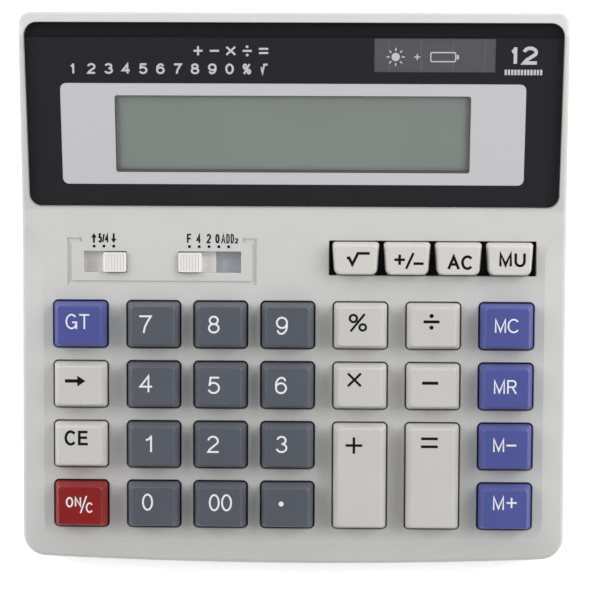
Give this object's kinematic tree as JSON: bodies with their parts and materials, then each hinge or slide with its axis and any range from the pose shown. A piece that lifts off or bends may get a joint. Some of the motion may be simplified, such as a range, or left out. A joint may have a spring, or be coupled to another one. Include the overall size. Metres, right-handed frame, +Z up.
{
  "type": "desk calculator",
  "caption": "Desk calculator: light grey wedge case, raised dark display panel with solar cell, rows of coloured press keys, two slide switches and a battery door in the base.",
  "frame": {"origin": "centre of the footprint, on the surface the rubber feet stand on", "axes": "+Z up, +Y towards the back edge where the display is, +X to the right as a user sits in front of the keys"},
  "size_m": [0.1536, 0.155, 0.0334],
  "materials": {
    "case_grey": "satin",
    "display_panel": "gloss",
    "lcd_glass": "satin",
    "lcd_reflector": "satin",
    "white_frame": "matte",
    "flat_cable": "satin",
    "solar_cell": "gloss",
    "circuit_board": "satin",
    "black_resin": "gloss",
    "component_sleeve": "gloss",
    "component_body": "satin",
    "key_mat_rubber": "matte",
    "cell_jacket": "gloss",
    "contact_metal": "gloss",
    "lead_sleeve": "satin",
    "knob_white": "satin",
    "shutter_grey": "satin",
    "screw_steel": "satin",
    "foot_rubber": "matte",
    "key_grey": "satin",
    "key_blue": "satin",
    "key_red": "satin",
    "key_white": "satin"
  },
  "bodies": {
    "case": {"battery_cell": "cell_jacket", "battery_leads": "lead_sleeve", "battery_plate": "contact_metal", "battery_spring": "contact_metal", "board_screws": "screw_steel", "capacitors": "component_sleeve", "case_screws": "screw_steel", "controller_blob": "black_resin", "display_lens": "display_panel", "holder_screws": "screw_steel", "key_mat": "key_mat_rubber", "lcd_glass": "lcd_glass", "lcd_holder": "white_frame", "lcd_reflector": "lcd_reflector", "lcd_ribbon": "flat_cable", "lower_case": "case_grey", "main_board": "circuit_board", "resistors": "component_body", "rubber_feet": "foot_rubber", "solar_cell": "solar_cell", "solar_leads": "lead_sleeve", "upper_case": "case_grey"},
    "battery_door": {"battery_door": "case_grey"},
    "round_switch": {"round_knob": "knob_white", "round_wiper": "contact_metal"},
    "decimal_switch": {"decimal_knob": "knob_white", "decimal_wiper": "contact_metal", "decimal_shutter": "shutter_grey"},
    "key_0_cap": {"key_0": "key_grey"},
    "key_00_cap": {"key_00": "key_grey"},
    "key_1_cap": {"key_1": "key_grey"},
    "key_2_cap": {"key_2": "key_grey"},
    "key_3_cap": {"key_3": "key_grey"},
    "key_4_cap": {"key_4": "key_grey"},
    "key_5_cap": {"key_5": "key_grey"},
    "key_6_cap": {"key_6": "key_grey"},
    "key_7_cap": {"key_7": "key_grey"},
    "key_8_cap": {"key_8": "key_grey"},
    "key_9_cap": {"key_9": "key_grey"},
    "key_ac_cap": {"key_ac": "key_white"},
    "key_backspace_cap": {"key_backspace": "key_white"},
    "key_ce_cap": {"key_ce": "key_white"},
    "key_divide_cap": {"key_divide": "key_white"},
    "key_equals_cap": {"key_equals": "key_white"},
    "key_gt_cap": {"key_gt": "key_blue"},
    "key_m_minus_cap": {"key_m_minus": "key_blue"},
    "key_m_plus_cap": {"key_m_plus": "key_blue"},
    "key_mc_cap": {"key_mc": "key_blue"},
    "key_minus_cap": {"key_minus": "key_white"},
    "key_mr_cap": {"key_mr": "key_blue"},
    "key_mu_cap": {"key_mu": "key_white"},
    "key_multiply_cap": {"key_multiply": "key_white"},
    "key_on_c_cap": {"key_on_c": "key_red"},
    "key_percent_cap": {"key_percent": "key_white"},
    "key_plus_cap": {"key_plus": "key_white"},
    "key_point_cap": {"key_point": "key_grey"},
    "key_root_cap": {"key_root": "key_white"},
    "key_sign_cap": {"key_sign": "key_white"}
  },
  "joints": [
    {"name": "battery_door_hinge", "type": "hinge", "parent": "case", "child": "battery_door", "pos_m": [-0.0039, 0.0496, 0.0008], "axis": [-1, 0, 0], "range_deg": [0, 75]},
    {"name": "round_slide", "type": "slide", "parent": "case", "child": "round_switch", "axis": [1, 0, 0], "range_m": [-0.0055, 0]},
    {"name": "decimal_slide", "type": "slide", "parent": "case", "child": "decimal_switch", "axis": [1, 0, 0], "range_m": [0, 0.011]},
    {"name": "key_0_press", "type": "slide", "parent": "case", "child": "key_0_cap", "axis": [0, 0.0872, -0.9962], "range_m": [0, 0.0016], "stiffness_N_per_m": 350, "deforming": ["key_mat"]},
    {"name": "key_00_press", "type": "slide", "parent": "case", "child": "key_00_cap", "axis": [0, 0.0872, -0.9962], "range_m": [0, 0.0016], "stiffness_N_per_m": 350, "deforming": ["key_mat"]},
    {"name": "key_1_press", "type": "slide", "parent": "case", "child": "key_1_cap", "axis": [0, 0.0872, -0.9962], "range_m": [0, 0.0016], "stiffness_N_per_m": 350, "deforming": ["key_mat"]},
    {"name": "key_2_press", "type": "slide", "parent": "case", "child": "key_2_cap", "axis": [0, 0.0872, -0.9962], "range_m": [0, 0.0016], "stiffness_N_per_m": 350, "deforming": ["key_mat"]},
    {"name": "key_3_press", "type": "slide", "parent": "case", "child": "key_3_cap", "axis": [0, 0.0872, -0.9962], "range_m": [0, 0.0016], "stiffness_N_per_m": 350, "deforming": ["key_mat"]},
    {"name": "key_4_press", "type": "slide", "parent": "case", "child": "key_4_cap", "axis": [0, 0.0872, -0.9962], "range_m": [0, 0.0016], "stiffness_N_per_m": 350, "deforming": ["key_mat"]},
    {"name": "key_5_press", "type": "slide", "parent": "case", "child": "key_5_cap", "axis": [0, 0.0872, -0.9962], "range_m": [0, 0.0016], "stiffness_N_per_m": 350, "deforming": ["key_mat"]},
    {"name": "key_6_press", "type": "slide", "parent": "case", "child": "key_6_cap", "axis": [0, 0.0872, -0.9962], "range_m": [0, 0.0016], "stiffness_N_per_m": 350, "deforming": ["key_mat"]},
    {"name": "key_7_press", "type": "slide", "parent": "case", "child": "key_7_cap", "axis": [0, 0.0872, -0.9962], "range_m": [0, 0.0016], "stiffness_N_per_m": 350, "deforming": ["key_mat"]},
    {"name": "key_8_press", "type": "slide", "parent": "case", "child": "key_8_cap", "axis": [0, 0.0872, -0.9962], "range_m": [0, 0.0016], "stiffness_N_per_m": 350, "deforming": ["key_mat"]},
    {"name": "key_9_press", "type": "slide", "parent": "case", "child": "key_9_cap", "axis": [0, 0.0872, -0.9962], "range_m": [0, 0.0016], "stiffness_N_per_m": 350, "deforming": ["key_mat"]},
    {"name": "key_ac_press", "type": "slide", "parent": "case", "child": "key_ac_cap", "axis": [0, 0.0872, -0.9962], "range_m": [0, 0.0016], "stiffness_N_per_m": 350, "deforming": ["key_mat"]},
    {"name": "key_backspace_press", "type": "slide", "parent": "case", "child": "key_backspace_cap", "axis": [0, 0.0872, -0.9962], "range_m": [0, 0.0016], "stiffness_N_per_m": 350, "deforming": ["key_mat"]},
    {"name": "key_ce_press", "type": "slide", "parent": "case", "child": "key_ce_cap", "axis": [0, 0.0872, -0.9962], "range_m": [0, 0.0016], "stiffness_N_per_m": 350, "deforming": ["key_mat"]},
    {"name": "key_divide_press", "type": "slide", "parent": "case", "child": "key_divide_cap", "axis": [0, 0.0872, -0.9962], "range_m": [0, 0.0016], "stiffness_N_per_m": 350, "deforming": ["key_mat"]},
    {"name": "key_equals_press", "type": "slide", "parent": "case", "child": "key_equals_cap", "axis": [0, 0.0872, -0.9962], "range_m": [0, 0.0016], "stiffness_N_per_m": 350, "deforming": ["key_mat"]},
    {"name": "key_gt_press", "type": "slide", "parent": "case", "child": "key_gt_cap", "axis": [0, 0.0872, -0.9962], "range_m": [0, 0.0016], "stiffness_N_per_m": 350, "deforming": ["key_mat"]},
    {"name": "key_m_minus_press", "type": "slide", "parent": "case", "child": "key_m_minus_cap", "axis": [0, 0.0872, -0.9962], "range_m": [0, 0.0016], "stiffness_N_per_m": 350, "deforming": ["key_mat"]},
    {"name": "key_m_plus_press", "type": "slide", "parent": "case", "child": "key_m_plus_cap", "axis": [0, 0.0872, -0.9962], "range_m": [0, 0.0016], "stiffness_N_per_m": 350, "deforming": ["key_mat"]},
    {"name": "key_mc_press", "type": "slide", "parent": "case", "child": "key_mc_cap", "axis": [0, 0.0872, -0.9962], "range_m": [0, 0.0016], "stiffness_N_per_m": 350, "deforming": ["key_mat"]},
    {"name": "key_minus_press", "type": "slide", "parent": "case", "child": "key_minus_cap", "axis": [0, 0.0872, -0.9962], "range_m": [0, 0.0016], "stiffness_N_per_m": 350, "deforming": ["key_mat"]},
    {"name": "key_mr_press", "type": "slide", "parent": "case", "child": "key_mr_cap", "axis": [0, 0.0872, -0.9962], "range_m": [0, 0.0016], "stiffness_N_per_m": 350, "deforming": ["key_mat"]},
    {"name": "key_mu_press", "type": "slide", "parent": "case", "child": "key_mu_cap", "axis": [0, 0.0872, -0.9962], "range_m": [0, 0.0016], "stiffness_N_per_m": 350, "deforming": ["key_mat"]},
    {"name": "key_multiply_press", "type": "slide", "parent": "case", "child": "key_multiply_cap", "axis": [0, 0.0872, -0.9962], "range_m": [0, 0.0016], "stiffness_N_per_m": 350, "deforming": ["key_mat"]},
    {"name": "key_on_c_press", "type": "slide", "parent": "case", "child": "key_on_c_cap", "axis": [0, 0.0872, -0.9962], "range_m": [0, 0.0016], "stiffness_N_per_m": 350, "deforming": ["key_mat"]},
    {"name": "key_percent_press", "type": "slide", "parent": "case", "child": "key_percent_cap", "axis": [0, 0.0872, -0.9962], "range_m": [0, 0.0016], "stiffness_N_per_m": 350, "deforming": ["key_mat"]},
    {"name": "key_plus_press", "type": "slide", "parent": "case", "child": "key_plus_cap", "axis": [0, 0.0872, -0.9962], "range_m": [0, 0.0016], "stiffness_N_per_m": 350, "deforming": ["key_mat"]},
    {"name": "key_point_press", "type": "slide", "parent": "case", "child": "key_point_cap", "axis": [0, 0.0872, -0.9962], "range_m": [0, 0.0016], "stiffness_N_per_m": 350, "deforming": ["key_mat"]},
    {"name": "key_root_press", "type": "slide", "parent": "case", "child": "key_root_cap", "axis": [0, 0.0872, -0.9962], "range_m": [0, 0.0016], "stiffness_N_per_m": 350, "deforming": ["key_mat"]},
    {"name": "key_sign_press", "type": "slide", "parent": "case", "child": "key_sign_cap", "axis": [0, 0.0872, -0.9962], "range_m": [0, 0.0016], "stiffness_N_per_m": 350, "deforming": ["key_mat"]}
  ]
}
